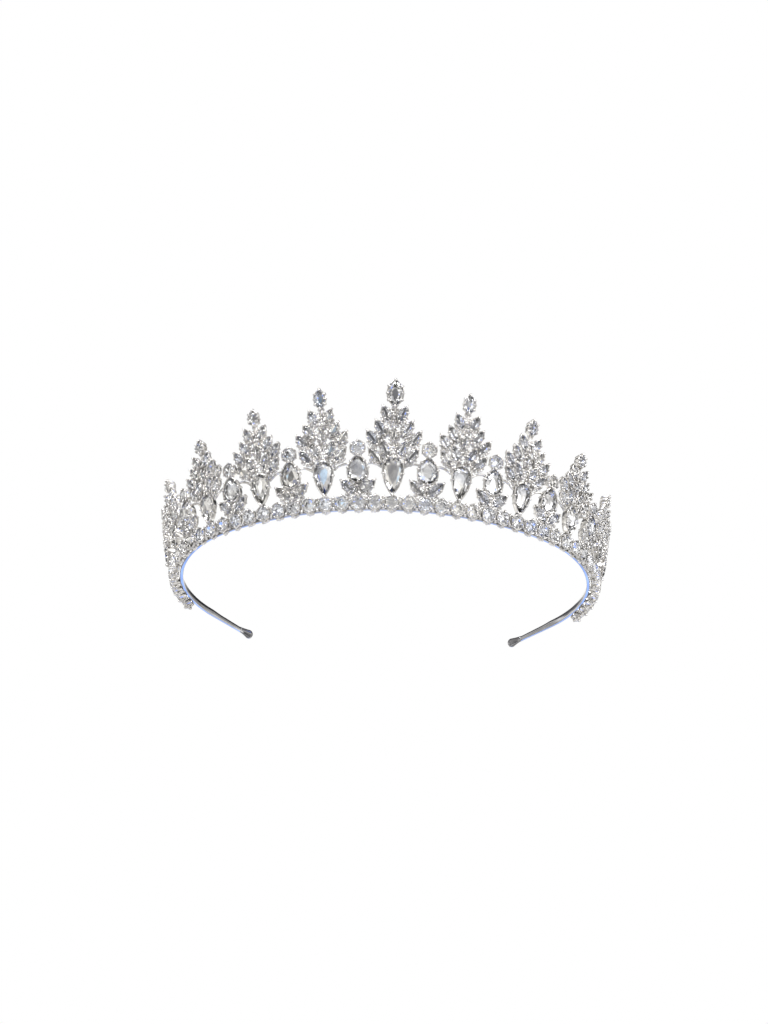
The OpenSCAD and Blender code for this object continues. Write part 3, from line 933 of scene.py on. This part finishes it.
def floor():
    """Pale floor under the tiara, clear from below, where the camera is."""
    mesh = bpy.data.meshes.new("floor")
    half = FLOOR_HALF
    mesh.from_pydata(
        [(-half, -half, 0), (half, -half, 0), (half, half, 0), (-half, half, 0)], [], [(0, 1, 2, 3)]
    )
    material, nodes, links, shader = new_material("pale_floor")
    shader.inputs["Roughness"].default_value = 0.7
    cloud = noise(nodes, links, 6, 3)
    tones = [(0.3, (0.95, 0.95, 0.95)), (0.7, (0.99, 0.99, 0.99))]
    tone = ramp(nodes, links, cloud.outputs["Fac"], tones)
    links.new(tone.outputs["Color"], shader.inputs["Base Color"])
    clear = nodes.new("ShaderNodeBsdfTransparent")
    facing = nodes.new("ShaderNodeNewGeometry")
    shown = nodes.new("ShaderNodeMixShader")
    links.new(facing.outputs["Backfacing"], shown.inputs["Fac"])
    links.new(shader.outputs["BSDF"], shown.inputs[1])
    links.new(clear.outputs["BSDF"], shown.inputs[2])
    links.new(shown.outputs["Shader"], nodes["Material Output"].inputs["Surface"])
    mesh.materials.append(material)
    ground = bpy.data.objects.new("floor", mesh)
    bpy.context.collection.objects.link(ground)
    ground.location = (0, 0, FLOOR_LEVEL)
    for ray in ("diffuse", "glossy", "transmission", "shadow"):
        setattr(ground, "visible_" + ray, False)


# Camera: azimuth, elevation and roll in degrees, the point it looks at in mm from the strip's lower
# edge at the front, its distance from there in mm, and its lens
CAMERA_TURN = (-1.49, -29.01, 1.25)
CAMERA_TARGET = (-3.72, -52.41, -29.79)
CAMERA_DISTANCE, CAMERA_LENS = 423.74, 53.47


def camera():
    """Below the band's plane and a little to the left, looking up at the crown's front."""
    azimuth, elevation, roll = (math.radians(a) for a in CAMERA_TURN)
    x, y, z = CAMERA_TARGET
    target = Vector((x, y - FRONT_TO_MIDDLE, z + BAND_LIFT)) * MM
    distance = CAMERA_DISTANCE * MM
    back = Vector((
        math.sin(azimuth) * math.cos(elevation), -math.cos(azimuth) * math.cos(elevation),
        math.sin(elevation),
    ))
    right = Vector((math.cos(azimuth), math.sin(azimuth), 0))
    up = back.cross(right)
    turned_right = right * math.cos(roll) + up * math.sin(roll)
    turned_up = up * math.cos(roll) - right * math.sin(roll)
    data = bpy.data.cameras.new("camera")
    data.lens = CAMERA_LENS
    data.clip_start = 0.01
    view = bpy.data.objects.new("camera", data)
    matrix = Matrix((turned_right, turned_up, back)).transposed().to_4x4()
    matrix.translation = target + back * distance
    view.matrix_world = matrix
    bpy.context.collection.objects.link(view)
    bpy.context.scene.camera = view


# ---- Everything together ----

def tiara():
    headband()
    end_tip("end_tip_left", -1)
    end_tip("end_tip_right", 1)
    base_row("left", -ROW_STONES, -FRONT_STONES - 1)
    base_row("front", -FRONT_STONES, FRONT_STONES)
    base_row("right", FRONT_STONES + 1, ROW_STONES)
    for side_name, side in (("left", -1), ("right", 1)):
        for i, at in enumerate(PEAK_AT):
            if i == 0 and side == 1:
                continue
            name = "peak_centre" if i == 0 else f"peak_{side_name}_{i}"
            wide, tall, head = PEAK_WIDE[i], PEAK_TALL[i], PEAK_HEAD[i]
            rise = LEAF_SHARE * TOP_LENGTH * tall * (1 - head)
            items = motif(PEAK_MIDDLE, PEAK_SIDE, wide, tall, head, rise)
            stems = [(ends, rise, rise) for ends in PEAK_STEMS]
            stems += [(ends, rise, 0) for ends in PEAR_STEMS]
            build_motif(name, at_crown(side * at * PITCH), items, stems, wide, tall)
        for i, at in enumerate(CONNECTOR_AT):
            name = f"connector_{side_name}_{i + 1}"
            size = CONNECTOR_SIZE[i]
            items = motif(CONNECTOR_MIDDLE, CONNECTOR_SIDE, size, size)
            stems = [(ends, 0, 0) for ends in CONNECTOR_STEMS]
            build_motif(name, at_crown(side * at * PITCH), items, stems, size, size)
            link_wires(name, side, i)


tiara()
world_light()
area_light("key", (-0.5, -0.9, 0.9), size=0.5, power=14)
area_light("fill", (0.9, -0.6, 0.5), size=0.6, power=6)
floor()
camera()
bpy.context.scene.view_settings.view_transform = "Standard"
